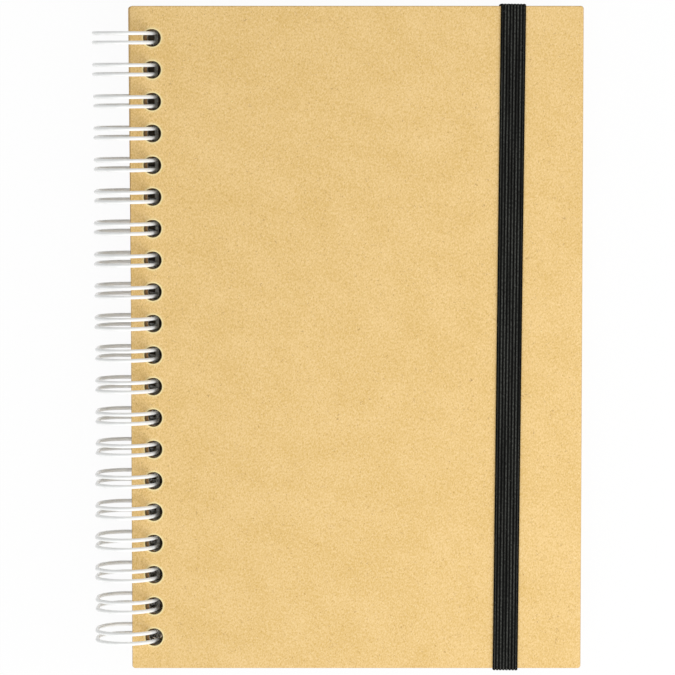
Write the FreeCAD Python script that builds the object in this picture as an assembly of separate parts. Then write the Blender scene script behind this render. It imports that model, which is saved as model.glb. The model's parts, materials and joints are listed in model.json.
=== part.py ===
import FreeCAD, Part
import math
import os

from FreeCAD import Vector

# A pocket notebook bound with one double loop wire, closed by an elastic band.
# It lies flat with its front cover up: X runs from the spine to the fore edge, Y from the tail
# to the head and Z up. The origin is under the middle of the whole object, at its lowest point.

# Covers and pages, in millimetres
cover_width = 120.65
cover_height = 177.8
cover_thickness = 1.5
cover_corner_radius = 0.8
page_stack = 7.2
page_overhang = 1.6
page_spine_inset = 1.0
page_corner_radius = 1.2

# Punching: one round hole for each double loop
loop_count = 20
loop_pitch = 25.4 / 3
hole_diameter = 4.6
hole_inset = 5.9

# Binding wire: a single coated wire, bent into hairpins that lie side by side on a cylinder
wire_diameter = 1.05
ring_inner_diameter = 15.9
pair_spacing = 2.5
root_bend_radius = 1.0
seam_clearance = 0.15
seam_gap = 0.4
groove_clearance = 0.2

# Elastic band: ribbed webbing that leans a little, as it lies on the cover
band_width = 6.7
band_thickness = 0.5
band_rib_depth = 0.14
band_ribs = 8
band_fore_inset = 19.5
band_lean_deg = 0.53
band_gap = 0.1
band_bend_radius = 0.35
band_end_inset = 16.0
band_end_depth = 1.0
slot_clearance = 0.05

# Facets of what repeats along the spine and round the band, kept few
hole_facets = 15
wire_facets = 6
leg_facets = 14
tip_facets = 3
root_bend_facets = 2
band_bend_facets = 2

# Heights and places that follow from the sizes above
wire_radius = wire_diameter / 2
ring_radius = ring_inner_diameter / 2 + wire_radius
stack_height = page_stack + 2 * cover_thickness
ring_middle_z = ring_radius + wire_radius
back_outer_z = ring_middle_z - stack_height / 2
back_inner_z = back_outer_z + cover_thickness
front_inner_z = back_inner_z + page_stack
front_outer_z = front_inner_z + cover_thickness

# The wire crosses the stack on an arc. The covers' holes are centred on the width of that arc,
# and the sheets hang on its far side, so their holes are centred there.
stack_half_angle = math.asin(stack_height / 2 / ring_radius)
arc_middle = ring_radius * (1 + math.cos(stack_half_angle)) / 2
overall_width = cover_width - hole_inset + arc_middle + ring_radius + wire_radius
fore_x = overall_width / 2
spine_x = fore_x - cover_width
hole_x = spine_x + hole_inset
ring_middle_x = hole_x - arc_middle
page_hole_x = ring_middle_x + ring_radius

# The seam of the wire lies between the last page and the back cover
root_z = back_inner_z + seam_clearance + wire_radius
root_angle = math.asin((root_z - ring_middle_z) / ring_radius)
tip_reach = pair_spacing / 2 + wire_diameter + seam_gap
leg_start_angle = root_angle + tip_reach / ring_radius
leg_end_angle = 2 * math.pi + root_angle - root_bend_radius / ring_radius


def loop_y(index):
    """Middle of one double loop along the spine."""
    return (index - (loop_count - 1) / 2) * loop_pitch


def plate(x_low, x_high, half_length, z_low, thickness, corner_radius):
    """A flat board with rounded corners."""
    board = Part.makeBox(
        x_high - x_low, 2 * half_length, thickness, Vector(x_low, -half_length, z_low)
    )
    corners = [e for e in board.Edges if abs(e.tangentAt(e.FirstParameter).z) > 0.5]
    return board.makeFillet(corner_radius, corners)


def regular_section(radius, facets):
    """Corners of a regular polygon round a point, set out so that its facets average the radius."""
    turn = 2 * math.pi / facets
    corner_radius = 2 * radius / (1 + math.cos(turn / 2))
    return [
        (corner_radius * math.cos(turn * (k + 0.5)), corner_radius * math.sin(turn * (k + 0.5)))
        for k in range(facets)
    ]


def hole_punches(middle_x):
    """The row of round punches, tall enough to go through the whole stack."""
    punches = []
    for i in range(loop_count):
        rim = [
            Vector(middle_x + a, loop_y(i) + b, back_outer_z)
            for a, b in regular_section(hole_diameter / 2, hole_facets)
        ]
        outline = Part.Face(Part.makePolygon(rim + rim[:1]))
        punches.append(outline.extrude(Vector(0, 0, stack_height)))
    return Part.makeCompound(punches)


def cover(z_low):
    """One stiff cover board with its row of holes."""
    board = plate(spine_x, fore_x, cover_height / 2, z_low, cover_thickness, cover_corner_radius)
    return board.cut(hole_punches(hole_x))


def page_block():
    """All sheets as one block, with the groove that the seam of the wire presses into the last ones."""
    block = plate(
        spine_x + page_spine_inset,
        fore_x - page_overhang,
        cover_height / 2 - page_overhang,
        back_inner_z,
        page_stack,
        page_corner_radius,
    )
    half_width = wire_radius + groove_clearance
    root_x = ring_middle_x + ring_radius * math.cos(root_angle)
    groove = Part.makeBox(
        2 * half_width,
        loop_y(loop_count - 1) - loop_y(0),
        root_z + wire_radius + groove_clearance - back_inner_z,
        Vector(root_x - half_width, loop_y(0), back_inner_z),
    )
    return block.cut(hole_punches(page_hole_x)).cut(groove)


def mitred_bar(points, side, section):
    """A solid bar of constant section along a chain of points, mitred at each turn.

    side is the section's first axis on the first stretch. At every turn the section is cut by the
    plane that halves the turn, and its axes then follow the new direction without twisting.
    """
    runs = [(b - a).normalize() for a, b in zip(points, points[1:])]
    across = side - runs[0] * side.dot(runs[0])
    across.normalize()
    rings = []
    for index, point in enumerate(points):
        run = runs[max(index - 1, 0)]
        onward = runs[min(index, len(runs) - 1)]
        upright = run.cross(across)
        mitre = run + onward
        ring = []
        for a, b in section:
            offset = across * a + upright * b
            ring.append(point + offset - run * (offset.dot(mitre) / run.dot(mitre)))
        rings.append(ring)
        across = FreeCAD.Rotation(run, onward).multVec(across)
    faces = [Part.Face(Part.makePolygon(rings[0] + rings[0][:1]))]
    faces.append(Part.Face(Part.makePolygon(rings[-1] + rings[-1][:1])))
    count = len(section)
    for low, high in zip(rings, rings[1:]):
        for k in range(count):
            nxt = (k + 1) % count
            faces.append(Part.Face(Part.makePolygon([low[k], low[nxt], high[nxt], high[k], low[k]])))
    solid = Part.makeSolid(Part.Shell(faces))
    if solid.Volume < 0:
        solid.reverse()
    return solid


def ring_point(angle, y):
    """A corner of the faceted ring, set out so that the facets average the true radius."""
    step = (leg_end_angle - leg_start_angle) / leg_facets
    corner_radius = 2 * ring_radius / (1 + math.cos(step / 2))
    return Vector(
        ring_middle_x + corner_radius * math.cos(angle), y, ring_middle_z + corner_radius * math.sin(angle)
    )


def ring_direction(angle):
    """The way round the ring at an angle, towards larger angles."""
    return Vector(-math.sin(angle), 0, math.cos(angle))


def leg_points(y, from_tip):
    """One leg of a hairpin round the ring, from its closed tip to its root, or back."""
    step = (leg_end_angle - leg_start_angle) / leg_facets
    points = [ring_point(leg_start_angle + step * k, y) for k in range(leg_facets + 1)]
    return points if from_tip else points[::-1]


def bend_points(centre, first, second, turn, facets):
    """Corners strictly inside a bend that starts at first from the centre and turns towards second."""
    return [
        centre + first * math.cos(turn * k / facets) + second * math.sin(turn * k / facets)
        for k in range(1, facets)
    ]


def tip_points(y):
    """The closed end of a hairpin: half a turn, flat against the ring."""
    half = pair_spacing / 2
    back = ring_direction(leg_start_angle) * -half
    return bend_points(ring_point(leg_start_angle, y), Vector(0, -half, 0), back, math.pi, tip_facets)


def root_points(y_from, y_to):
    """The wire between two neighbouring hairpins: a bend, a short straight and a bend."""
    onward = ring_direction(leg_end_angle) * root_bend_radius
    out = Vector(0, root_bend_radius, 0)
    first_centre = ring_point(leg_end_angle, y_from) + out
    last_centre = ring_point(leg_end_angle, y_to) - out
    quarter = math.pi / 2
    first = bend_points(first_centre, out * -1, onward, quarter, root_bend_facets)
    last = bend_points(last_centre, onward, out, quarter, root_bend_facets)
    return first + [first_centre + onward, last_centre + onward] + last


def binding_wire():
    """All the loops as the one wire that they are bent from."""
    half = pair_spacing / 2
    points = []
    for i in range(loop_count):
        y = loop_y(i)
        points += leg_points(y - half, from_tip=False) + tip_points(y) + leg_points(y + half, from_tip=True)
        if i < loop_count - 1:
            points += root_points(y + half, loop_y(i + 1) - half)
    outward = Vector(math.cos(leg_end_angle), 0, math.sin(leg_end_angle))
    return mitred_bar(points, outward, regular_section(wire_radius, wire_facets))


def band_section():
    """The webbing's section: flat inside, with lengthwise ribs outside."""
    rib = band_width / band_ribs
    inside = -band_thickness / 2
    ridge = band_thickness / 2
    valley = ridge - band_rib_depth
    left = -band_width / 2
    corners = [(inside, left), (valley, left)]
    for k in range(band_ribs):
        corners.append((ridge, left + rib * (k + 0.5)))
        corners.append((valley, left + rib * (k + 1)))
    corners.append((inside, -left))
    return corners


def band_path():
    """The band's middle line in a plane across the spine, from one slot round to the other."""
    low = back_outer_z - band_gap - band_thickness / 2
    high = front_outer_z + band_gap + band_thickness / 2
    out = cover_height / 2 + band_gap + band_thickness / 2
    slot = cover_height / 2 - band_end_inset
    turns = [(slot, low), (out, low), (out, high)]
    turns += [(-y, z) for y, z in reversed(turns)]
    ends = [(slot, back_outer_z + band_end_depth), (-slot, back_outer_z + band_end_depth)]
    corners = [Vector(0, y, z) for y, z in ends[:1] + turns + ends[1:]]
    points = [corners[0]]
    for before, corner, after in zip(corners, corners[1:], corners[2:]):
        come = (before - corner).normalize() * band_bend_radius
        leave = (after - corner).normalize() * band_bend_radius
        middle = corner + come + leave
        points.append(corner + come)
        points += bend_points(middle, leave * -1, come * -1, math.pi / 2, band_bend_facets)
        points.append(corner + leave)
    return points + [corners[-1]]


def placed_band(shape):
    """Move a shape made on the plane X = 0 to the band's place and lean."""
    shape = shape.copy()
    shape.rotate(Vector(0, 0, 0), Vector(0, 0, 1), -band_lean_deg)
    shape.translate(Vector(fore_x - band_fore_inset, 0, 0))
    return shape


def elastic_band():
    """The closing band, with both ends let into the back cover."""
    return placed_band(mitred_bar(band_path(), Vector(0, -1, 0), band_section()))


def band_slots():
    """The two blind slots in the outer face of the back cover that hold the band's ends."""
    width = band_width + 2 * slot_clearance
    depth = band_thickness + 2 * slot_clearance
    slots = []
    for side in (-1, 1):
        y = side * (cover_height / 2 - band_end_inset)
        corner = Vector(-width / 2, y - depth / 2, back_outer_z)
        slots.append(Part.makeBox(width, depth, band_end_depth, corner))
    return placed_band(Part.makeCompound(slots))


parts = {
    "front_cover": cover(front_inner_z),
    "back_cover": cover(back_outer_z).cut(band_slots()),
    "page_block": page_block(),
    "binding_wire": binding_wire(),
    "elastic_band": elastic_band(),
}

os.makedirs("parts", exist_ok=True)
for name, shape in parts.items():
    shape.exportStep(f"parts/{name}.step")
    print(name, "valid", shape.isValid(), "solids", len(shape.Solids), "volume", round(shape.Volume, 2))
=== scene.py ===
import json
import math

import bmesh
import bpy
import numpy as np
from bpy.props import FloatProperty, FloatVectorProperty, IntProperty, PointerProperty
from bpy.types import Operator, Panel, PropertyGroup
from mathutils import Matrix, Vector


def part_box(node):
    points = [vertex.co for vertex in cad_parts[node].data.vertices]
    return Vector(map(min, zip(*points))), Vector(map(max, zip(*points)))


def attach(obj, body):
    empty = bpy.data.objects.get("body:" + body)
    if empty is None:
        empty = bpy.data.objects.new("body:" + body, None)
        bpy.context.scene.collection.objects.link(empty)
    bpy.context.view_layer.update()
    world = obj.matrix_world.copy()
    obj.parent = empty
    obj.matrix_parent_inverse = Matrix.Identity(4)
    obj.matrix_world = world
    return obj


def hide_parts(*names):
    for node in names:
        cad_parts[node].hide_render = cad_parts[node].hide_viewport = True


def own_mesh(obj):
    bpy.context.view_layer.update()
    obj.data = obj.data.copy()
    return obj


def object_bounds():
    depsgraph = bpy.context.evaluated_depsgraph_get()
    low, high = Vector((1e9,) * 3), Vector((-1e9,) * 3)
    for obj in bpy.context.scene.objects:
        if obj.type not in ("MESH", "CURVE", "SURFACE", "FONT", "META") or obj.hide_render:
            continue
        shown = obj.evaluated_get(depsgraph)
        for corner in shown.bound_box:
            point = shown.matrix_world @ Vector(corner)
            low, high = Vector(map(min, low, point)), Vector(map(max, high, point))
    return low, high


bl_info = {
    "name": "Wire Bound Notebook",
    "version": (1, 0, 0),
    "blender": (4, 5, 0),
    "location": "3D View > Sidebar > Notebook",
    "description": "Dresses a wire bound notebook with kraft board, paper, coated wire and elastic",
    "category": "Object",
}

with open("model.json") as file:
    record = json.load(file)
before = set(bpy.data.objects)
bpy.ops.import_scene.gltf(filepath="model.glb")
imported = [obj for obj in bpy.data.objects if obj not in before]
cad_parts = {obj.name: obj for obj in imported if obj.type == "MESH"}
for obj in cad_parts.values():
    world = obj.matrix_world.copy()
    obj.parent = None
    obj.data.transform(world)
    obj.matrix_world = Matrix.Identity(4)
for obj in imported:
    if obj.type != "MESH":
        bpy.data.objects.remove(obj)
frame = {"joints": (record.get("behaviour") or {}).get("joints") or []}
CAD_BOX = [list(map(float, corner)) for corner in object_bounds()]
MM = 0.001

# Points closer than the first are one point, and grid marks closer than the second are one mark
SAME_POINT = 1e-8
SAME_MARK = 1e-6

# How finely the boards and sheets are drawn
CELL_SIDE = 12
CELL_RINGS = 5
RING_CROWDING = 1.4
CORNER_MARKS = 7
END_MARKS = 3
SPINE_MARKS = 2
FACE_MARKS = 22
EDGE_STEPS = 5

# How finely the wire and the band are drawn
LEG_POINTS = 56
TIP_POINTS = 14
ROOT_POINTS = 8
WIRE_ROUND = 14
BAND_BEND_POINTS = 7
BAND_STRETCH = 4 * MM
RIB_POINTS = 8

# The holes step aside over this height, either way from the top of the inner ply
PLY_STEP = 0.01 * MM

# The cut edge's colour is full at one part in this many of the way from a face to the board's middle
CUT_EDGE_FADE = 6

# Places read from the fixed model: covers, pages and the ring's axis
FRONT_LOW, FRONT_HIGH = (Vector(corner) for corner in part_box("front_cover"))
BACK_LOW, BACK_HIGH = (Vector(corner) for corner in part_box("back_cover"))
PAGES_LOW, PAGES_HIGH = (Vector(corner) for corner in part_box("page_block"))
HINGE = Vector(next(j["pos_m"] for j in frame["joints"] if j["name"] == "front_cover_hinge"))


def length_property(name, description, millimetres):
    """A length that a user may change, with its default in millimetres."""
    default = millimetres * MM
    return FloatProperty(name=name, description=description, default=default, unit="LENGTH", precision=6)


def colour_property(name, description, default):
    """A colour that a user may change, as linear light."""
    return FloatVectorProperty(name=name, description=description, default=default, subtype="COLOR")


class BoardSizes(PropertyGroup):
    """The stiff cover boards and their row of punched holes."""

    hole_count: IntProperty(name="Holes", description="Number of punched holes", default=20, min=1)
    hole_pitch: length_property("Hole pitch", "Three holes to the inch", 25.4 / 3)
    hole_diameter: length_property("Hole diameter", "Size of the round punch", 4.6)
    hole_inset: length_property("Hole inset", "Spine edge to hole middle", 5.9)
    corner_radius: length_property("Corner radius", "Rounding of the corners", 0.8)
    edge_radius: length_property("Edge rounding", "Softness of cut edges", 0.22)
    # The pale ring round each hole is a painted highlight
    rim_width: length_property("Rim width", "Pale ring round each hole", 0.22)
    spine_flare: length_property("Spine flare", "Back board out of square at the head", 1.0)
    liner: length_property("Liner", "Inner ply, punched off centre", 0.35)


class PageSizes(PropertyGroup):
    """The sheets, drawn as thin bundles with slightly uneven edges."""

    bundles: IntProperty(name="Bundles", description="Layers that the edges show", default=36, min=4)
    unevenness: length_property("Unevenness", "How far sheets lie back", 0.09)
    corner_radius: length_property("Corner radius", "Rounding of the corners", 1.2)
    seed: IntProperty(name="Seed", description="Which pattern of uneven edges", default=7)


class WireSizes(PropertyGroup):
    """The one wire that is bent into all the double loops."""

    wire_diameter: length_property("Wire diameter", "Coated wire", 1.05)
    ring_inner_diameter: length_property("Ring bore", "Free space inside the loops", 15.9)
    pair_spacing: length_property("Pair spacing", "Between the legs of a loop", 2.5)
    root_bend_radius: length_property("Root bend", "Bend between two loops", 1.0)
    seam_clearance: length_property("Seam clearance", "Seam to the back cover", 0.15)
    seam_gap: length_property("Seam gap", "Closed ends to roots", 0.4)
    groove_clearance: length_property("Groove clearance", "Seam to the last sheets", 0.2)
    press: length_property("Press", "How far loops are pressed flat", 0.72)
    press_reach: IntProperty(
        name="Press reach", description="Higher keeps the press shorter",
        default=14, min=2,
    )
    wander: length_property("Wander", "How far loops stand out of line", 0.7)


class BandSizes(PropertyGroup):
    """The elastic band with its lengthwise ribs."""

    width: length_property("Width", "Width of the webbing", 6.7)
    thickness: length_property("Thickness", "Thickness over the ribs", 0.5)
    ribs: IntProperty(name="Ribs", description="Covered rubber threads across the band", default=8, min=2)
    rib_depth: length_property("Rib depth", "Valley between two ribs", 0.24)
    fore_inset: length_property("Inset", "Fore edge to band middle", 19.5)
    lean: FloatProperty(
        name="Lean", description="How far the band turns",
        default=math.radians(0.53), subtype="ANGLE",
    )
    gap: length_property("Gap", "Band to cover", 0.1)
    bend_radius: length_property("Bend", "Middle line at the edges", 0.35)
    end_inset: length_property("End inset", "Head or tail edge to slot", 16.0)
    end_depth: length_property("End depth", "How deep an end is let in", 1.0)


class Finish(PropertyGroup):
    """Colours of the notebook, as linear light."""

    kraft: colour_property("Kraft", "Face of the boards", (0.83, 0.573, 0.231))
    kraft_fibre: colour_property("Kraft fibre", "Darker fibres and specks", (0.4, 0.23, 0.085))
    # Painted highlight round each hole; the same colour also tints the pale specks in the board
    kraft_rim: colour_property("Kraft rim", "Pale fibres round a hole", (0.98, 0.86, 0.47))
    kraft_edge: colour_property("Board edge", "Cut edges and punched walls", (0.33, 0.15, 0.045))
    paper: colour_property("Paper", "Off-white sheets", (0.84, 0.81, 0.72))
    wire: colour_property("Wire coat", "White coat on the wire", (0.93, 0.94, 0.93))
    elastic: colour_property("Elastic", "Covering yarn of the band", (0.004, 0.004, 0.0037))
    # Painted highlight on the rib tops; lint specks take a lighter copy of the same colour
    elastic_highlight_and_lint: colour_property("Elastic fleck", "Worn tops of the ribs", (0.08, 0.082, 0.074))


class Studio(PropertyGroup):
    """Camera and light, set to the photograph's view."""

    distance: FloatProperty(
        name="Distance", description="Camera above the cover",
        default=903 * MM, unit="LENGTH", precision=4,
    )
    tilt: FloatProperty(
        name="Tilt", description="Camera leans to the head",
        default=math.radians(4.01), subtype="ANGLE",
    )
    focal: FloatProperty(name="Lens", description="Focal length in millimetres", default=180.3, min=1.0)
    look_x: FloatProperty(
        name="Look at X", description="Point on the cover",
        default=0.27 * MM, unit="LENGTH",
    )
    look_y: FloatProperty(
        name="Look at Y", description="Point on the cover",
        default=16.77 * MM, unit="LENGTH",
    )
    shift_y: FloatProperty(name="Shift", description="Share of the frame", default=-0.09)
    sky: FloatProperty(name="Sky", description="Strength of the even light", default=0.57)
    key: FloatProperty(name="Key", description="Strength of the lamp at the tail in watts", default=10.4)
    side: FloatProperty(
        name="Side", description="Strength of the lamp at the fore edge in watts",
        default=0.55,
    )
    floor_shadow: FloatProperty(name="Floor shadow", description="How much shadow shows", default=0.05)


def merged_points(points, faces):
    """Points that fall on each other become one, to a hundredth of a micron, and faces follow them."""
    keys = np.round(points / SAME_POINT).astype(np.int64)
    unique, first, inverse = np.unique(keys, axis=0, return_index=True, return_inverse=True)
    return points[first], inverse.reshape(-1)[faces]


def grid_faces(rows, columns, close_rows=False, close_columns=False):
    """Quads of a grid numbered row by row; a closed direction joins its last line to its first."""
    row = np.arange(rows if close_rows else rows - 1)
    column = np.arange(columns if close_columns else columns - 1)
    r0, c0 = np.meshgrid(row, column, indexing="ij")
    r1, c1 = (r0 + 1) % rows, (c0 + 1) % columns
    corners = (r0 * columns + c0, r1 * columns + c0, r1 * columns + c1, r0 * columns + c1)
    return np.stack(corners, axis=-1).reshape(-1, 4)


def rounded_corners(points, low, high, radius):
    """Points of a rectangle moved so that its corners are round.

    Inside each corner square a point (u, v) goes to (u*sqrt(1 - v*v/2), v*sqrt(1 - u*u/2)).
    """
    inner = np.clip(points, np.asarray(low) + radius, np.asarray(high) - radius)
    u, v = ((points - inner) / radius).T
    moved = np.stack((u * np.sqrt(1 - v * v / 2), v * np.sqrt(1 - u * u / 2)), axis=-1)
    return inner + moved * radius


def hole_cell(half, hole_radius, side, rings):
    """A square sheet with a round hole: each ring is the hole's circle blended towards the square."""
    count = 4 * side
    turn = (np.arange(count) / count) * 2 * np.pi - np.pi / 4
    circle = np.stack((np.cos(turn), np.sin(turn)), axis=-1)
    along = np.arange(count) / side
    corners = np.array([(1, -1), (1, 1), (-1, 1), (-1, -1), (1, -1)], dtype=float)
    marks = np.arange(len(corners))
    square = np.stack([np.interp(along, marks, corners[:, axis]) for axis in (0, 1)], axis=-1)
    share = np.linspace(0, 1, rings)[:, None, None] ** RING_CROWDING
    points = (1 - share) * circle * hole_radius + share * square * half
    return points.reshape(-1, 2), grid_faces(rings, count, close_columns=True)


def line_marks(start, stop, radius, coarse):
    """Grid marks along one side: close together in the rounded corners and coarse between them."""
    fine = radius * np.linspace(0, 1, CORNER_MARKS)
    middle = np.linspace(start + radius, stop - radius, coarse)
    return np.unique(np.concatenate((start + fine, middle, stop - fine)))


def punched_sheet(low, high, hole_x, sizes, hole_radius, corner_radius):
    """A flat sheet with rounded corners and a row of holes, as a grid with a column of hole cells."""
    side = CELL_SIDE
    half = sizes.hole_pitch / 2
    reach = sizes.hole_pitch * sizes.hole_count / 2
    middles = loop_middles()
    cell, cell_faces = hole_cell(half, hole_radius, side, CELL_RINGS)
    places = np.stack((np.full_like(middles, hole_x), middles), axis=-1)
    points = [(cell[None] + places[:, None]).reshape(-1, 2)]
    faces = [(cell_faces[None] + np.arange(len(middles))[:, None, None] * len(cell)).reshape(-1, 4)]

    along = np.linspace(-reach, reach, sizes.hole_count * side + 1)
    tail = line_marks(low[1], -reach + corner_radius, corner_radius, END_MARKS)
    tail = np.append(tail[tail < -reach - SAME_MARK], -reach)
    head = -tail[::-1]
    left = line_marks(low[0], hole_x - half + corner_radius, corner_radius, SPINE_MARKS)
    left = np.append(left[left < hole_x - half - SAME_MARK], hole_x - half)
    right = line_marks(hole_x + half - corner_radius, high[0], corner_radius, FACE_MARKS)
    right = np.append(hole_x + half, right[right > hole_x + half + SAME_MARK])
    over = np.linspace(hole_x - half, hole_x + half, side + 1)

    def strip(xs, ys):
        """A plain grid between two sets of marks."""
        grid = np.stack(np.meshgrid(xs, ys, indexing="ij"), axis=-1).reshape(-1, 2)
        faces.append(grid_faces(len(xs), len(ys))[:, ::-1] + sum(map(len, points)))
        points.append(grid)

    full = np.concatenate((tail[:-1], along, head[1:]))
    strip(left, full)
    strip(right, full)
    strip(over, tail)
    strip(over, head)
    flat, quads = merged_points(np.concatenate(points), np.concatenate(faces))
    flat = rounded_corners(flat, low, high, corner_radius)
    a, b, c = (flat[quads[:, k]] for k in (0, 1, 2))
    turn = (b[:, 0] - a[:, 0]) * (c[:, 1] - a[:, 1]) - (b[:, 1] - a[:, 1]) * (c[:, 0] - a[:, 0])
    quads[turn < 0] = quads[turn < 0][:, ::-1]
    return flat, quads


def sheet_border(flat, quads):
    """The edges that belong to one quad only, and the outward direction at each of their points."""
    edges = np.stack((quads, np.roll(quads, -1, axis=1)), axis=-1).reshape(-1, 2)
    key = np.sort(edges, axis=1)
    unique, inverse, count = np.unique(key, axis=0, return_inverse=True, return_counts=True)
    border = edges[count[inverse.reshape(-1)] == 1]
    run = flat[border[:, 1]] - flat[border[:, 0]]
    run /= np.linalg.norm(run, axis=1, keepdims=True)
    side = np.stack((run[:, 1], -run[:, 0]), axis=-1)
    outward = np.zeros_like(flat)
    np.add.at(outward, border[:, 0], side)
    np.add.at(outward, border[:, 1], side)
    marked = np.unique(border)
    length = np.linalg.norm(outward[marked], axis=1, keepdims=True)
    # a mitre keeps straight stretches at their full offset
    outward[marked] = outward[marked] / length * (2 / length)
    return border, marked, outward


def stacked_solid(flat, quads, heights, offsets):
    """A solid from a flat sheet: the sheet on top and below, and walls that follow a profile.

    The walls carry the profile, given as heights and offsets, along every border of the sheet.
    offsets has one row per height, and either one column or one per border point.
    """
    border, marked, outward = sheet_border(flat, quads)
    number = np.zeros(len(flat), dtype=int)
    number[marked] = np.arange(len(marked))
    levels = len(heights)
    wall = flat[marked][None] + outward[marked][None] * offsets[:, :, None]
    wall_heights = np.broadcast_to(heights[:, None, None], (levels, len(marked), 1))
    wall = np.concatenate((wall, wall_heights), axis=-1)
    top = np.column_stack((flat, np.full(len(flat), heights[0])))
    bottom = np.column_stack((flat, np.full(len(flat), heights[-1])))
    top[marked] = wall[0]
    bottom[marked] = wall[-1]
    points = np.concatenate((top, bottom, wall[1:-1].reshape(-1, 3)))
    index = np.empty((levels, len(flat)), dtype=int)
    index[0] = np.arange(len(flat))
    index[-1] = index[0] + len(flat)
    index[1:-1] = 2 * len(flat) + np.arange(levels - 2)[:, None] * len(marked) + number[None]
    a, b = index[:, border[:, 0]], index[:, border[:, 1]]
    walls = np.stack((a[:-1], a[1:], b[1:], b[:-1]), axis=-1).reshape(-1, 4)
    faces = np.concatenate((quads, quads[:, ::-1] + len(flat), walls))
    return points, faces.tolist(), 2 * len(quads)


def edge_profile(top, bottom, radius, steps):
    """Heights and offsets of an edge with a quarter round at the top and one at the bottom."""
    turn = np.linspace(0, np.pi / 2, steps)
    upper = top - radius * (1 - np.cos(turn))
    lower = bottom + radius * (1 - np.cos(turn[::-1]))
    heights = np.concatenate((upper, lower))
    offsets = np.concatenate((radius * np.sin(turn), radius * np.sin(turn[::-1])))
    return heights, offsets[:, None]


def new_piece(name, points, faces, body, node, material):
    """Puts points and faces into a mesh that rides on a body and stands for a node."""
    mesh = bpy.data.meshes.new(name)
    mesh.from_pydata(points.tolist(), [], faces)
    shell = bmesh.new()
    shell.from_mesh(mesh)
    bmesh.ops.recalc_face_normals(shell, faces=shell.faces)
    shell.to_mesh(mesh)
    shell.free()
    mesh.materials.append(material)
    piece = bpy.data.objects.new(name, mesh)
    bpy.context.scene.collection.objects.link(piece)
    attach(piece, body)
    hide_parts(node)
    return piece


def point_attribute(piece, name, values):
    """A number at each point, which a material can read."""
    layer = piece.data.attributes.new(name, "FLOAT", "POINT")
    layer.data.foreach_set("value", np.asarray(values, dtype=np.float32))


def shade(piece, smooth):
    """Smooth or flat faces, given as one value or one for each face."""
    flags = np.broadcast_to(np.asarray(smooth, dtype=bool), (len(piece.data.polygons),))
    piece.data.polygons.foreach_set("use_smooth", flags.copy())
    piece.data.update()


def hole_line():
    """The x of the row of holes, from the covers' spine edge."""
    return FRONT_LOW.x + bpy.context.scene.notebook_boards.hole_inset


def ring_radius():
    """From the ring's axis to the middle of the wire."""
    wire = bpy.context.scene.notebook_wire
    return (wire.ring_inner_diameter + wire.wire_diameter) / 2


def seam_place():
    """The x and z of the wire's seam, which lies on the ring just over the back board."""
    wire = bpy.context.scene.notebook_wire
    height = BACK_HIGH.z + wire.seam_clearance + wire.wire_diameter / 2
    rise = height - HINGE.z
    return HINGE.x + math.sqrt(ring_radius() ** 2 - rise ** 2), height


def loop_middles():
    """The y of the middle of each loop, which is the middle of its hole."""
    boards = bpy.context.scene.notebook_boards
    return (np.arange(boards.hole_count) - (boards.hole_count - 1) / 2) * boards.hole_pitch


def past_hole(points):
    """How far points lie outside the nearest hole of the boards."""
    boards = bpy.context.scene.notebook_boards
    middles = loop_middles()
    near = np.clip(np.rint((points[:, 1] - middles[0]) / boards.hole_pitch), 0, boards.hole_count - 1)
    beside = points[:, 1] - middles[near.astype(int)]
    return np.hypot(points[:, 0] - hole_line(), beside) - boards.hole_diameter / 2


def cover_board(name, node, low, high, body, material, flare, lag):
    """One board: a punched sheet with a rounded edge profile carried along every border.

    Left of the holes the sheet widens evenly from tail to head by flare. In the inner ply the holes
    move towards the fore edge by lag, a move that fades evenly across half a pitch round each hole.
    The rim attribute falls off as exp(-d*d), with d the distance from the nearest hole in rim widths.
    """
    sizes = bpy.context.scene.notebook_boards
    round_edge = sizes.edge_radius
    hole_radius = sizes.hole_diameter / 2
    flat, quads = punched_sheet(
        (low.x + round_edge, low.y + round_edge),
        (high.x - round_edge, high.y - round_edge),
        hole_line(),
        sizes,
        hole_radius + round_edge,
        sizes.corner_radius - round_edge,
    )
    margin = hole_line() - hole_radius - round_edge
    share = np.clip((margin - flat[:, 0]) / (margin - low.x), 0, 1)
    flat[:, 0] -= flare * share * (flat[:, 1] - low.y) / (high.y - low.y)
    heights, offsets = edge_profile(high.z, low.z, round_edge, EDGE_STEPS)
    ply = low.z + sizes.liner
    step = np.array((ply + PLY_STEP, ply - PLY_STEP))
    straight = offsets[EDGE_STEPS - 1 : EDGE_STEPS + 1]
    heights = np.concatenate((heights[:EDGE_STEPS], step, heights[EDGE_STEPS:]))
    offsets = np.concatenate((offsets[:EDGE_STEPS], straight, offsets[EDGE_STEPS:]))
    points, faces, flat_count = stacked_solid(flat, quads, heights, offsets)
    away = past_hole(points)
    reach = sizes.hole_pitch / 2 - hole_radius
    within = np.clip(1 - away / reach, 0, 1) * (points[:, 2] < ply)
    points[:, 0] += lag * within
    piece = new_piece(name, points, faces, body, node, material)
    shade(piece, np.arange(len(faces)) >= flat_count)
    middle = (low.z + high.z) / 2
    depth = 1 - np.abs(points[:, 2] - middle) / (high.z - middle)
    point_attribute(piece, "cut_edge", np.clip(depth * CUT_EDGE_FADE, 0, 1))
    # Painted shade: bore marks the punched walls above the inner ply, which the board's material darkens
    point_attribute(piece, "bore", (away < round_edge / 2) & (points[:, 2] > ply))
    # Painted highlight: rim lightens the board round each hole
    point_attribute(piece, "rim", np.exp(-((np.maximum(away - round_edge, 0) / sizes.rim_width) ** 2)))
    return piece


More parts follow.
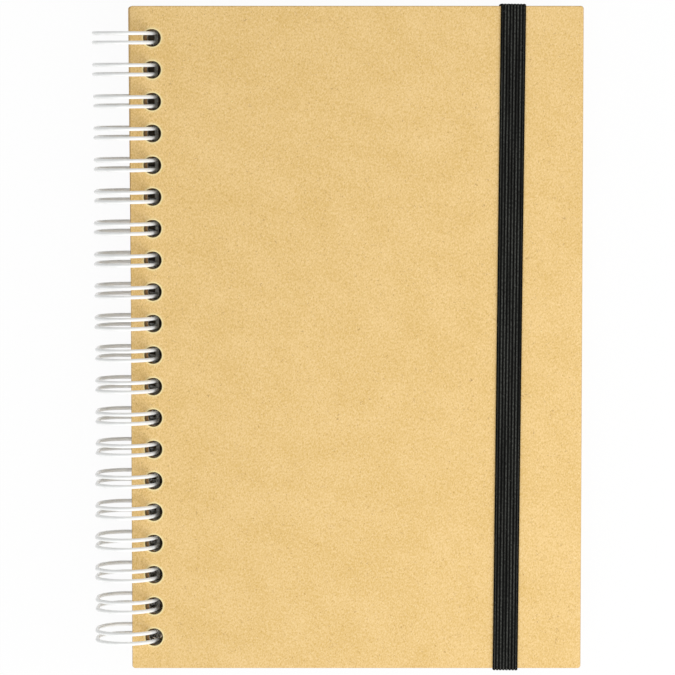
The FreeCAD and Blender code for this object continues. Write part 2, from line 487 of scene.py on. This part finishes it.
def cut_channel(piece, low, high):
    """Takes a box out of a piece and keeps what is left as its mesh."""
    mesh = bpy.data.meshes.new("channel")
    shell = bmesh.new()
    bmesh.ops.create_cube(shell, size=1.0)
    size = [b - a for a, b in zip(low, high)]
    middle = [(a + b) / 2 for a, b in zip(low, high)]
    bmesh.ops.scale(shell, vec=size, verts=shell.verts)
    bmesh.ops.translate(shell, vec=middle, verts=shell.verts)
    shell.to_mesh(mesh)
    shell.free()
    cutter = bpy.data.objects.new("channel", mesh)
    bpy.context.scene.collection.objects.link(cutter)
    cut = piece.modifiers.new("channel", "BOOLEAN")
    cut.object = cutter
    cut.operation = "DIFFERENCE"
    cut.solver = "EXACT"
    left = bpy.data.meshes.new_from_object(piece.evaluated_get(bpy.context.evaluated_depsgraph_get()))
    piece.modifiers.remove(cut)
    piece.data = left
    bpy.data.objects.remove(cutter)


def page_stack_piece(material):
    """The sheets: a punched sheet whose walls step in and out by bundle, less the seam's groove.

    The step at a border point is a random share for its bundle plus a sum of slow sine waves along
    the outline, with phases of that bundle's own.
    The sheets hang on the far side of the ring, so their holes are centred there.
    """
    sizes = bpy.context.scene.notebook_pages
    boards = bpy.context.scene.notebook_boards
    flat, quads = punched_sheet(
        (PAGES_LOW.x, PAGES_LOW.y),
        (PAGES_HIGH.x, PAGES_HIGH.y),
        HINGE.x + ring_radius(),
        boards,
        boards.hole_diameter / 2,
        sizes.corner_radius,
    )
    marked = sheet_border(flat, quads)[1]
    chance = np.random.default_rng(sizes.seed)
    edges = np.linspace(PAGES_HIGH.z, PAGES_LOW.z, sizes.bundles + 1)
    heights = np.repeat(edges, 2)[1:-1]
    where = flat[marked] / (PAGES_HIGH.y - PAGES_LOW.y) * 2 * np.pi
    level = chance.uniform(0, 1, (sizes.bundles, 1))
    phase = chance.uniform(0, 2 * np.pi, (sizes.bundles, 2))
    waves_x = 2.3
    waves_y = 1.5
    level_share = 0.75
    wave_share = 0.06
    wave = np.sin(where[None, :, 1] * waves_y + phase[:, :1])
    wave += np.sin(where[None, :, 0] * waves_x + phase[:, 1:])
    step = -sizes.unevenness * np.clip(level_share * level + wave_share * (wave + 2), 0, 1)
    offsets = np.repeat(step, 2, axis=0)
    points, faces, flat_count = stacked_solid(flat, quads, heights, offsets)
    piece = new_piece("sheets", points, faces, "pages", "page_block", material)
    wire = bpy.context.scene.notebook_wire
    seam_x, seam_z = seam_place()
    reach = wire.wire_diameter / 2 + wire.groove_clearance
    middles = loop_middles()
    lag = HINGE.x + ring_radius() - hole_line()
    shifted = points - np.array((lag, 0, 0))
    slack = 0.005 * boards.hole_diameter
    inside = past_hole(shifted) < slack
    depth = (PAGES_HIGH.z - points[:, 2]) / (PAGES_HIGH.z - PAGES_LOW.z)
    # Painted shade: bore grows with depth inside the holes, and the paper darkens with it
    point_attribute(piece, "bore", inside * depth)
    low = (seam_x - reach, middles[0], PAGES_LOW.z - reach)
    high = (seam_x + reach, middles[-1], seam_z + reach)
    cut_channel(piece, low, high)
    shade(piece, False)
    return piece


def arc(centre, first, second, start, stop, count):
    """Points centre + first*cos(t) + second*sin(t) for t from start to stop, with both ends."""
    t = np.linspace(start, stop, count)[:, None]
    return np.asarray(centre) + np.asarray(first) * np.cos(t) + np.asarray(second) * np.sin(t)


def wire_line(sizes, boards):
    """Middle line of the wire and the ring's outward direction at each of its points.

    Each loop is two arcs round the ring's axis joined by half a turn at the closed end. A quarter
    bend, a straight and a quarter bend join a loop to the next one. At the spine a loop is pressed
    flat, times a high power of the outward x that leaves the open covers' holes their room. The
    press is less at the row's ends and varies by a sum of sine waves.
    """
    radius = ring_radius()
    half = sizes.pair_spacing / 2
    seam_x, seam_z = seam_place()
    root_angle = math.atan2(seam_z - HINGE.z, seam_x - HINGE.x)
    start = root_angle + (half + sizes.wire_diameter + sizes.seam_gap) / radius
    stop = 2 * math.pi + root_angle - sizes.root_bend_radius / radius
    across = np.array((0.0, 1.0, 0.0))

    def ring(angle, y):
        """A point of the ring."""
        return np.array((HINGE.x + radius * math.cos(angle), y, HINGE.z + radius * math.sin(angle)))

    def onward(angle):
        """The direction round the ring."""
        return np.array((-math.sin(angle), 0.0, math.cos(angle)))

    def outward(angle):
        """The direction away from the ring's axis."""
        return np.array((math.cos(angle), 0.0, math.sin(angle)))

    centre = (HINGE.x, 0.0, HINGE.z)
    leg = arc(centre, (radius, 0, 0), (0, 0, radius), start, stop, LEG_POINTS)
    leg_out = arc((0, 0, 0), (1, 0, 0), (0, 0, 1), start, stop, LEG_POINTS)
    tip = arc(ring(start, 0), across * -half, onward(start) * -half, 0, math.pi, TIP_POINTS)[1:-1]
    bend = sizes.root_bend_radius
    far = boards.hole_pitch - half
    first_centre = ring(stop, half) + across * bend
    last_centre = ring(stop, far) - across * bend
    first = arc(first_centre, across * -bend, onward(stop) * bend, 0, math.pi / 2, ROOT_POINTS)[1:]
    last = arc(last_centre, onward(stop) * bend, across * bend, 0, math.pi / 2, ROOT_POINTS)[:-1]
    loop = np.concatenate((leg[::-1] - across * half, tip, leg + across * half))
    loop_out = np.concatenate((leg_out[::-1], np.tile(outward(start), (len(tip), 1)), leg_out))
    root = np.concatenate((first, last))
    root_out = np.tile(outward(stop), (len(root), 1))
    unit = np.concatenate((loop, root))
    unit_out = np.concatenate((loop_out, root_out))
    middles = loop_middles()
    place = middles / middles[-1]
    bow = 0.65 * place**2 + 0.15 * place - 0.2
    ripple = 0.2 * np.sin(7 * place) + 0.12 * np.sin(23 * place)
    stand = sizes.wander * (bow + ripple) - sizes.press
    lean = np.clip(-unit_out[:, 0], 0, 1) ** sizes.press_reach
    line = unit[None] + middles[:, None, None] * across
    line[:, :, 0] -= stand[:, None] * lean[None]
    out = np.tile(unit_out, (boards.hole_count, 1))[: -len(root)]
    return line.reshape(-1, 3)[: -len(root)], out


def tube(line, out, radius, around):
    """A round tube along a line: a circle in the plane of the outward direction and its cross product."""
    run = np.gradient(line, axis=0)
    run /= np.linalg.norm(run, axis=1, keepdims=True)
    out = out - run * np.sum(run * out, axis=1, keepdims=True)
    out /= np.linalg.norm(out, axis=1, keepdims=True)
    side = np.cross(run, out)
    turn = np.linspace(0, 2 * np.pi, around, endpoint=False)[None, :, None]
    points = line[:, None] + radius * (out[:, None] * np.cos(turn) + side[:, None] * np.sin(turn))
    faces = grid_faces(len(line), around, close_columns=True)
    ends = np.stack((line[0], line[-1]))
    count = len(line) * around
    k = np.arange(around)
    first = np.stack((np.full(around, count), k, (k + 1) % around), axis=-1)
    last_ring = count - around
    last = np.stack((np.full(around, count + 1), last_ring + (k + 1) % around, last_ring + k), axis=-1)
    return np.concatenate((points.reshape(-1, 3), ends)), faces.tolist() + first.tolist() + last.tolist()


def wire_piece(material):
    """All the loops as one round wire."""
    sizes = bpy.context.scene.notebook_wire
    line, out = wire_line(sizes, bpy.context.scene.notebook_boards)
    points, faces = tube(line, out, sizes.wire_diameter / 2, WIRE_ROUND)
    piece = new_piece("coated_wire", points, faces, "pages", "binding_wire", material)
    shade(piece, True)
    return piece


def band_line(sizes):
    """Middle line of the band in the plane across the spine, with its outward direction.

    Corners of the route are quarter turns of the bend radius, and the runs between are straight.
    """
    low = BACK_LOW.z - sizes.gap - sizes.thickness / 2
    high = FRONT_HIGH.z + sizes.gap + sizes.thickness / 2
    out = FRONT_HIGH.y + sizes.gap + sizes.thickness / 2
    slot = FRONT_HIGH.y - sizes.end_inset
    deep = BACK_LOW.z + sizes.end_depth
    bend = sizes.bend_radius
    half_route = [(slot, deep), (slot, low), (out, low), (out, high)]
    route = np.array(half_route + [(-y, z) for y, z in reversed(half_route)])
    pieces = [route[:1]]
    for before, corner, after in zip(route, route[1:], route[2:]):
        come = (before - corner) / np.linalg.norm(before - corner) * bend
        leave = (after - corner) / np.linalg.norm(after - corner) * bend
        pieces.append(arc(corner + come + leave, -leave, -come, 0, math.pi / 2, BAND_BEND_POINTS))
    pieces.append(route[-1:])
    line = np.concatenate(pieces)
    steps = np.linalg.norm(np.diff(line, axis=0), axis=1)
    parts = np.maximum(1, np.ceil(steps / BAND_STRETCH)).astype(int)
    spans = [
        line[k] + (line[k + 1] - line[k]) * np.linspace(0, 1, n, endpoint=False)[:, None]
        for k, n in enumerate(parts)
    ]
    return np.concatenate(spans + [line[-1:]])


def band_section(sizes):
    """The webbing's outline: flat inside, and outside a row of round ribs.

    A rib's height is |sin| of the place across to a power under 1, which fills its sides out. It
    falls off towards the webbing's two edges.
    """
    fullness = 0.7
    edge_rise = 14
    edge_start = 0.35
    inner_points = 17
    inner_reach = 0.485
    across = np.linspace(-0.5, 0.5, sizes.ribs * RIB_POINTS + 1)
    swell = np.abs(np.sin(np.pi * sizes.ribs * (across + 0.5))) ** fullness
    edge = np.minimum(1, (0.5 - np.abs(across)) * edge_rise + edge_start)
    outer = sizes.thickness / 2 - sizes.rib_depth * (1 - swell * edge)
    inner = np.full(inner_points, -sizes.thickness / 2)
    back = np.linspace(inner_reach, -inner_reach, inner_points)
    place = np.concatenate((across, back)) * sizes.width
    height = np.concatenate((outer, inner))
    return place, height


def band_piece(material):
    """The webbing's section carried along the band's line, turned by its lean."""
    sizes = bpy.context.scene.notebook_band
    line = band_line(sizes)
    run = np.gradient(line, axis=0)
    run /= np.linalg.norm(run, axis=1, keepdims=True)
    normal = np.stack((run[:, 1], -run[:, 0]), axis=-1)
    if normal[len(normal) // 2][1] < 0:
        normal = -normal
    place, height = band_section(sizes)
    y = line[:, None, 0] + normal[:, None, 0] * height[None]
    z = line[:, None, 1] + normal[:, None, 1] * height[None]
    x = np.broadcast_to(place[None], y.shape)
    cos, sin = math.cos(-sizes.lean), math.sin(-sizes.lean)
    middle = FRONT_HIGH.x - sizes.fore_inset
    points = np.stack((middle + x * cos - y * sin, x * sin + y * cos, z), axis=-1).reshape(-1, 3)
    columns = len(place)
    faces = grid_faces(len(line), columns, close_columns=True).tolist()
    faces += [list(range(columns)), list(range((len(line) - 1) * columns, len(line) * columns))]
    piece = new_piece("band_webbing", points, faces, "back", "elastic_band", material)
    shade(piece, True)
    length = np.concatenate(([0], np.cumsum(np.linalg.norm(np.diff(line, axis=0), axis=1))))
    point_attribute(piece, "along", np.repeat(length, columns) / MM)
    point_attribute(piece, "across", np.tile(place, len(line)) / MM)
    point_attribute(piece, "rib_top", np.tile((height - height.min()) / sizes.thickness, len(line)))
    return piece


class Sock:
    """A number that runs through a material, so that shader maths reads as plain arithmetic."""

    def __init__(self, build, socket):
        self.build = build
        self.socket = socket

    def math(self, operation, *values):
        """One Math node."""
        return self.build.node("ShaderNodeMath", {"operation": operation}, dict(enumerate((self, *values))))

    def __add__(self, other):
        return self.math("ADD", other)

    __radd__ = __add__

    def __mul__(self, other):
        return self.math("MULTIPLY", other)

    __rmul__ = __mul__

    def __sub__(self, other):
        return self.math("SUBTRACT", other)

    def __rsub__(self, other):
        return (self * -1) + other

    def __abs__(self):
        return self.math("ABSOLUTE")

    def between(self, low, high):
        """Rises smoothly from 0 at low to 1 at high."""
        inputs = {"Value": self, "From Min": low, "From Max": high}
        return self.build.node("ShaderNodeMapRange", {"interpolation_type": "SMOOTHSTEP"}, inputs)


class Nodes:
    """Adds nodes to the node tree of a material or a world."""

    def __init__(self, tree):
        self.tree = tree

    def node(self, kind, settings, inputs, output=0):
        """Any node, from its type, its settings, and the values or links of its sockets."""
        node = self.tree.nodes.new(kind)
        for key, value in settings.items():
            setattr(node, key, value)
        for key, value in inputs.items():
            if isinstance(value, Sock):
                self.tree.links.new(value.socket, node.inputs[key])
            else:
                node.inputs[key].default_value = value
        return Sock(self, node.outputs[output])

    def show(self, output, shader):
        """Joins a shader to the tree's output."""
        self.tree.links.new(shader.socket, self.tree.nodes[output].inputs["Surface"])


# Sockets of the Mix node that are told apart only by their number
MIX_FACTOR = 0
MIX_FIRST_COLOUR = 6
MIX_SECOND_COLOUR = 7
MIX_COLOUR_RESULT = 2


class Build(Nodes):
    """A new material with one Principled shader, and the nodes that feed it."""

    def __init__(self, name):
        self.material = bpy.data.materials.new(name)
        self.material.use_nodes = True
        super().__init__(self.material.node_tree)
        self.shader = self.tree.nodes["Principled BSDF"]
        self.place = self.node("ShaderNodeTexCoord", {}, {}, output="Object")

    def scaled(self, x, y, z, turn=(0.0, 0.0, 0.0)):
        """Object coordinates in units of x, y and z millimetres, turned about the origin."""
        scale = (1 / (x * MM), 1 / (y * MM), 1 / (z * MM))
        turned = self.node("ShaderNodeMapping", {}, {"Vector": self.place, "Rotation": turn})
        return self.node("ShaderNodeMapping", {}, {"Vector": turned, "Scale": scale})

    def noise(self, where, detail=2.0, rough=0.5, distort=0.0):
        """Soft noise from 0 to 1 with features one unit across."""
        inputs = {"Vector": where, "Scale": 1.0, "Detail": detail, "Roughness": rough, "Distortion": distort}
        return self.node("ShaderNodeTexNoise", {}, inputs)

    def attribute(self, name):
        """A number stored at the points."""
        return self.node("ShaderNodeAttribute", {"attribute_name": name}, {}, output="Fac")

    def mix(self, factor, first, second):
        """Two colours, mixed. The Mix node's colour sockets have the same names as its others."""
        first, second = (c if isinstance(c, Sock) else (*c, 1.0) for c in (first, second))
        inputs = {MIX_FACTOR: factor, MIX_FIRST_COLOUR: first, MIX_SECOND_COLOUR: second}
        return self.node("ShaderNodeMix", {"data_type": "RGBA"}, inputs, output=MIX_COLOUR_RESULT)

    def feed(self, **sockets):
        """Values or links for the shader's own sockets."""
        for key, value in sockets.items():
            socket = self.shader.inputs[key.replace("_", " ")]
            if isinstance(value, Sock):
                self.tree.links.new(value.socket, socket)
            else:
                socket.default_value = value

    def bump(self, height, distance, strength=1.0):
        """A Bump node on the shader's Normal, with its height in millimetres."""
        inputs = {"Height": height, "Distance": distance * MM, "Strength": strength}
        self.feed(Normal=self.node("ShaderNodeBump", {}, inputs))


def times(colour, *factors):
    """A colour times one factor, or times one for each channel, and never over 1."""
    factors = factors if len(factors) == len(colour) else factors * len(colour)
    return tuple(min(1.0, c * f) for c, f in zip(colour, factors))


def kraft_material():
    """Brown kraft board: fine mottle with an upright grain, sparse fibres and specks, dark cut edges;
    painted shade on the punched walls and a painted highlight round each hole.
    """
    finish = bpy.context.scene.notebook_finish
    build = Build("kraft_board_finish")
    cloud = build.noise(build.scaled(11, 8, 8, turn=(0, 0, 0.5)), detail=2)
    mottle = build.noise(build.scaled(0.4, 0.5, 0.4), detail=2, rough=0.6)
    grain = build.noise(build.scaled(0.3, 0.62, 0.3, turn=(0, 0, 0.3)), detail=2, rough=0.6, distort=0.4)
    tone = cloud * 0.14 + mottle * 0.46 + grain * 0.4
    shade_dark = times(finish.kraft, 0.84, 0.79, 0.58)
    shade_light = times(finish.kraft, 1.12, 1.17, 1.4)
    colour = build.mix(tone.between(0.3, 0.68), shade_dark, shade_light)
    thread = abs(build.noise(build.scaled(2.6, 2.6, 2.6), detail=1, distort=1.3) - 0.5)
    patch = build.noise(build.scaled(1.3, 1.3, 1.3), detail=0).between(0.64, 0.7)
    line = (1 - thread.between(0.0, 0.012)) * patch
    streak_place = build.scaled(3.0, 1.6, 3.0, turn=(0.0, 0.0, 0.7))
    streak = abs(build.noise(streak_place, detail=1, distort=0.7) - 0.47)
    streak_patch = build.noise(build.scaled(1.6, 1.6, 1.6, turn=(0.1, 0.5, 0.3)), detail=0)
    streak_patch = streak_patch.between(0.63, 0.69)
    other_line = (1 - streak.between(0.0, 0.01)) * streak_patch
    speck = build.noise(build.scaled(0.42, 0.42, 0.42, turn=(0.3, 0.1, 0.8)), detail=0).between(0.76, 0.8)
    pale = build.noise(build.scaled(0.4, 0.4, 0.4, turn=(0.7, 0.2, 0.2)), detail=0).between(0.78, 0.86)
    fibres = (line * 0.6 + other_line * 0.55 + speck * 0.45) * (1 - pale)
    colour = build.mix(pale * 0.5, colour, tuple(finish.kraft_rim))
    colour = build.mix(fibres, colour, tuple(finish.kraft_fibre))
    # Painted highlight: a pale ring round each hole
    colour = build.mix(build.attribute("rim") * 0.85, colour, tuple(finish.kraft_rim))
    layers = build.noise(build.scaled(5, 5, 0.16), detail=2)
    cut = build.mix(layers, times(finish.kraft_edge, 0.7), times(finish.kraft_edge, 1.4))
    # Painted shade: the punched walls above the inner ply are darkened
    cut = build.mix(build.attribute("bore") * 0.9, cut, times(finish.kraft_edge, 0.15))
    colour = build.mix(build.attribute("cut_edge") * 0.9, colour, cut)
    build.feed(Base_Color=colour, Roughness=(mottle * 0.14 + 0.74), Specular_IOR_Level=0.25)
    build.bump(mottle * 0.5 + grain * 0.6 + fibres * 0.3, 0.03, 0.7)
    return build.material


def paper_material():
    """Off-white sheets: fine tooth on the faces, thin uneven lines on the cut edges, and painted shade that
    darkens the holes with depth.
    """
    finish = bpy.context.scene.notebook_finish
    build = Build("paper_finish")
    tooth = build.noise(build.scaled(0.3, 0.3, 0.3), detail=3, rough=0.6)
    sheets = build.noise(build.scaled(9, 9, 0.11), detail=3, rough=0.7)
    gap = 1 - sheets.between(0.33, 0.45)
    facing = build.node("ShaderNodeNewGeometry", {}, {}, output="True Normal")
    upward = build.node("ShaderNodeSeparateXYZ", {}, {"Vector": facing}, output="Z")
    side = 1 - abs(upward).between(0.4, 0.8)
    deep = build.attribute("bore").between(0.0, 0.5)
    colour = build.mix(tooth.between(0.3, 0.75), times(finish.paper, 0.95), times(finish.paper, 1.03))
    colour = build.mix(gap * side * 0.55, colour, times(finish.paper, 0.42, 0.38, 0.3))
    # Painted shade deep in the holes
    colour = build.mix(deep * 0.85, colour, times(finish.paper, 0.06))
    build.feed(Base_Color=colour, Roughness=(tooth * 0.1 + 0.82), Specular_IOR_Level=0.25)
    build.bump(tooth * 0.3 - gap * side * 1.5, 0.03, 0.6)
    return build.material


def wire_material():
    """White coat on steel wire: glossy, with a faint unevenness from the coating."""
    finish = bpy.context.scene.notebook_finish
    build = Build("coated_wire_finish")
    flow = build.noise(build.scaled(2.5, 2.5, 2.5), detail=2)
    speck = build.noise(build.scaled(0.5, 0.5, 0.5), detail=1).between(0.74, 0.82)
    colour = build.mix(flow.between(0.3, 0.7), times(finish.wire, 0.97), times(finish.wire, 1.02))
    colour = build.mix(speck * 0.3, colour, times(finish.wire, 0.6))
    build.feed(Base_Color=colour, Roughness=(flow * 0.12 + 0.24), Coat_Weight=0.35, Coat_Roughness=0.12)
    build.bump(flow, 0.02, 0.5)
    return build.material


def elastic_material():
    """Black webbing: yarn wound round each rubber thread, with painted grey highlights on the rib tops."""
    finish = bpy.context.scene.notebook_finish
    build = Build("elastic_finish")
    yarn_pitch = 0.42
    along = build.attribute("along")
    across = build.attribute("across")
    top = build.attribute("rib_top")
    yarn = (along * (2 * math.pi / yarn_pitch) + across * 5.0).math("SINE") * 0.5 + 0.5
    where = build.node("ShaderNodeCombineXYZ", {}, {"X": across * 3.2, "Y": along * 1.6, "Z": 0.0})
    broken = build.noise(where, detail=3, rough=0.7)
    lint = build.noise(build.scaled(0.35, 0.35, 0.35), detail=1).between(0.74, 0.8)
    slow = build.node("ShaderNodeCombineXYZ", {}, {"X": across * 0.9, "Y": along * 0.03, "Z": 0.0})
    highlight_strength = build.noise(slow, detail=1).between(0.3, 0.6)
    inner = 1 - abs(across).between(2.75, 3.1)
    # Painted highlight: the rib tops are made lighter in broken dashes, stronger along some stretches than
    # others
    rib_highlight = top.between(0.84, 1.0) * (broken.between(0.3, 0.68) * 1.1 + 0.15)
    rib_highlight = rib_highlight * (yarn * 0.4 + 0.7) * (highlight_strength * 0.7 + 0.3)
    colour = build.mix(rib_highlight * inner, tuple(finish.elastic), tuple(finish.elastic_highlight_and_lint))
    colour = build.mix(lint * 0.6, colour, times(finish.elastic_highlight_and_lint, 2.5))
    build.feed(Base_Color=colour, Roughness=0.85, Specular_IOR_Level=0.05)
    build.bump(yarn * 0.6 + broken * 0.4, 0.03, 0.7)
    return build.material


def raise_if_missing(*values):
    """An operator that has no frame to work on stops with an error."""
    if any(value is None for value in values):
        raise RuntimeError("the fixed model isn't loaded")
    return {"FINISHED"}


class NOTEBOOK_OT_covers(Operator):
    """Build the front and back boards with their punched holes."""

    bl_idname = "notebook.covers"
    bl_label = "Cover boards"

    def execute(self, context):
        material = kraft_material()
        flare = context.scene.notebook_boards.spine_flare
        lag = HINGE.x + ring_radius() - hole_line()
        front = cover_board("front_board", "front_cover", FRONT_LOW, FRONT_HIGH, "front", material, 0.0, lag)
        back = cover_board("back_board", "back_cover", BACK_LOW, BACK_HIGH, "back", material, flare, 0.0)
        return raise_if_missing(front, back)


class NOTEBOOK_OT_pages(Operator):
    """Build the block of sheets."""

    bl_idname = "notebook.pages"
    bl_label = "Sheets"

    def execute(self, context):
        return raise_if_missing(page_stack_piece(paper_material()))


class NOTEBOOK_OT_wire(Operator):
    """Bend the binding wire."""

    bl_idname = "notebook.wire"
    bl_label = "Binding wire"

    def execute(self, context):
        return raise_if_missing(wire_piece(wire_material()))


class NOTEBOOK_OT_band(Operator):
    """Lay the elastic band round the covers."""

    bl_idname = "notebook.band"
    bl_label = "Elastic band"

    def execute(self, context):
        piece = band_piece(elastic_material())
        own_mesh(piece)
        return raise_if_missing(piece)


def soft_lamp(name, place, target, size, watts):
    """A square area lamp aimed at a point."""
    light = bpy.data.lights.new(name, "AREA")
    light.energy = watts
    light.size = size
    lamp = bpy.data.objects.new(name, light)
    lamp.location = place
    lamp.rotation_euler = (Vector(target) - Vector(place)).to_track_quat("-Z", "Y").to_euler()
    lamp.visible_camera = False
    bpy.context.scene.collection.objects.link(lamp)


# Where the two lamps stand over the notebook, in metres, and how wide they are
KEY_PLACE = (0.0, -1.1, 0.73)
KEY_SIZE = 1.2
SIDE_PLACE = (0.3, -0.05, 0.25)
SIDE_SIZE = 0.35


def floor_piece(studio):
    """A large pale floor: white to the camera and in gloss, but for a share of its shadow.

    Under the notebook it stays as it is lit, and a strip under the holes gets a dark base colour,
    painted shade so that nothing bright shows through them.
    """
    half = 3.0
    level = CAD_BOX[0][2] - 0.01 * MM
    fade_start = 3 * MM
    fade_stop = 1 * MM
    strip_half = 2.4 * MM
    strip_outer = 3 * MM
    strip_past_row = 1.5 * MM
    strip_outer_past_row = 2.5 * MM
    mesh = bpy.data.meshes.new("floor")
    corners = [(-half, -half, level), (half, -half, level), (half, half, level), (-half, half, level)]
    mesh.from_pydata(corners, [], [(0, 1, 2, 3)])
    floor = bpy.data.objects.new("floor", mesh)
    bpy.context.scene.collection.objects.link(floor)
    build = Build("floor_finish")
    camera = build.node("ShaderNodeLightPath", {}, {}, output="Is Camera Ray")
    gloss = build.node("ShaderNodeLightPath", {}, {}, output="Is Glossy Ray")
    middle = (BACK_LOW + BACK_HIGH) / 2
    reach = (BACK_HIGH - BACK_LOW) / 2
    from_middle = build.node("ShaderNodeMapping", {}, {"Vector": build.place, "Location": -middle})
    east = build.node("ShaderNodeSeparateXYZ", {}, {"Vector": from_middle}, output="X")
    north = build.node("ShaderNodeSeparateXYZ", {}, {"Vector": from_middle}, output="Y")
    beside = abs(east).between(reach.x - fade_start, reach.x - fade_stop)
    before = abs(north).between(reach.y - fade_start, reach.y - fade_stop)
    open_floor = beside.math("MAXIMUM", before)
    row_end = float(loop_middles()[-1])
    off_row = abs(east - (hole_line() - middle.x)).between(strip_half, strip_outer)
    past_row = abs(north).between(row_end + strip_past_row, row_end + strip_outer_past_row)
    off_row = off_row.math("MAXIMUM", past_row)
    # Painted shade: a dark base colour in the strip under the row of holes
    build.feed(Base_Color=build.mix(off_row, (0.15, 0.14, 0.13), (0.9, 0.9, 0.9)), Roughness=0.9)
    share = camera.math("MAXIMUM", gloss) * open_floor * (1 - studio.floor_shadow)
    white = build.node("ShaderNodeEmission", {}, {"Color": (1, 1, 1, 1), "Strength": 1.0})
    lit = Sock(build, build.shader.outputs[0])
    build.show("Material Output", build.node("ShaderNodeMixShader", {}, {0: share, 1: lit, 2: white}))
    mesh.materials.append(build.material)


def world_light(studio):
    """Even studio light, which the camera sees as white."""
    world = bpy.data.worlds.new("studio")
    world.use_nodes = True
    nodes = Nodes(world.node_tree)
    sky = nodes.node("ShaderNodeBackground", {}, {"Color": (1, 1, 1, 1), "Strength": studio.sky})
    white = nodes.node("ShaderNodeBackground", {}, {"Color": (1, 1, 1, 1), "Strength": 1.0})
    camera = nodes.node("ShaderNodeLightPath", {}, {}, output="Is Camera Ray")
    nodes.show("World Output", nodes.node("ShaderNodeMixShader", {}, {0: camera, 1: sky, 2: white}))
    bpy.context.scene.world = world


def camera_above(studio):
    """The camera over the front cover, leaning a little towards the head."""
    look = Vector((studio.look_x, studio.look_y, FRONT_HIGH.z))
    lean = Matrix.Rotation(-studio.tilt, 4, "X")
    data = bpy.data.cameras.new("camera")
    data.lens = studio.focal
    data.sensor_width = 36.0
    data.shift_y = studio.shift_y
    data.clip_end = 20.0
    camera = bpy.data.objects.new("camera", data)
    camera.matrix_world = Matrix.Translation(look) @ lean @ Matrix.Translation((0, 0, studio.distance))
    bpy.context.scene.collection.objects.link(camera)
    bpy.context.scene.camera = camera


class NOTEBOOK_OT_studio(Operator):
    """Set the floor, the light and the camera."""

    bl_idname = "notebook.studio"
    bl_label = "Studio"

    def execute(self, context):
        studio = context.scene.notebook_studio
        floor_piece(studio)
        world_light(studio)
        soft_lamp("key_lamp", KEY_PLACE, (0, 0, 0), KEY_SIZE, studio.key)
        soft_lamp("side_lamp", SIDE_PLACE, (0, 0, 0), SIDE_SIZE, studio.side)
        camera_above(studio)
        context.scene.view_settings.view_transform = "Standard"
        return raise_if_missing(context.scene.camera)


class NOTEBOOK_PT_pieces(Panel):
    """Lists the pieces of the notebook."""

    bl_idname = "NOTEBOOK_PT_pieces"
    bl_label = "Notebook"
    bl_space_type = "VIEW_3D"
    bl_region_type = "UI"
    bl_category = "Notebook"

    def draw(self, context):
        column = self.layout.column()
        for operator in OPERATORS:
            column.operator(operator.bl_idname)
        for group in GROUPS:
            settings = getattr(context.scene, group)
            for name in settings.bl_rna.properties.keys():
                if name not in ("rna_type", "name"):
                    column.prop(settings, name)


OPERATORS = (
    NOTEBOOK_OT_covers,
    NOTEBOOK_OT_pages,
    NOTEBOOK_OT_wire,
    NOTEBOOK_OT_band,
    NOTEBOOK_OT_studio,
)
GROUPS = {
    "notebook_boards": BoardSizes,
    "notebook_pages": PageSizes,
    "notebook_wire": WireSizes,
    "notebook_band": BandSizes,
    "notebook_finish": Finish,
    "notebook_studio": Studio,
}


def register():
    """Makes the settings, the operators and the panel known to the scene."""
    for group in GROUPS.values():
        bpy.utils.register_class(group)
    for name, group in GROUPS.items():
        setattr(bpy.types.Scene, name, PointerProperty(type=group))
    for operator in OPERATORS:
        bpy.utils.register_class(operator)
    bpy.utils.register_class(NOTEBOOK_PT_pieces)


def unregister():
    """Takes them away again, in the opposite order."""
    bpy.utils.unregister_class(NOTEBOOK_PT_pieces)
    for operator in reversed(OPERATORS):
        bpy.utils.unregister_class(operator)
    for name in GROUPS:
        delattr(bpy.types.Scene, name)
    for group in reversed(list(GROUPS.values())):
        bpy.utils.unregister_class(group)


def main():
    """Builds the notebook and its studio."""
    register()
    bpy.ops.notebook.covers()
    bpy.ops.notebook.pages()
    bpy.ops.notebook.wire()
    bpy.ops.notebook.band()
    bpy.ops.notebook.studio()


if __name__ == "__main__":
    main()
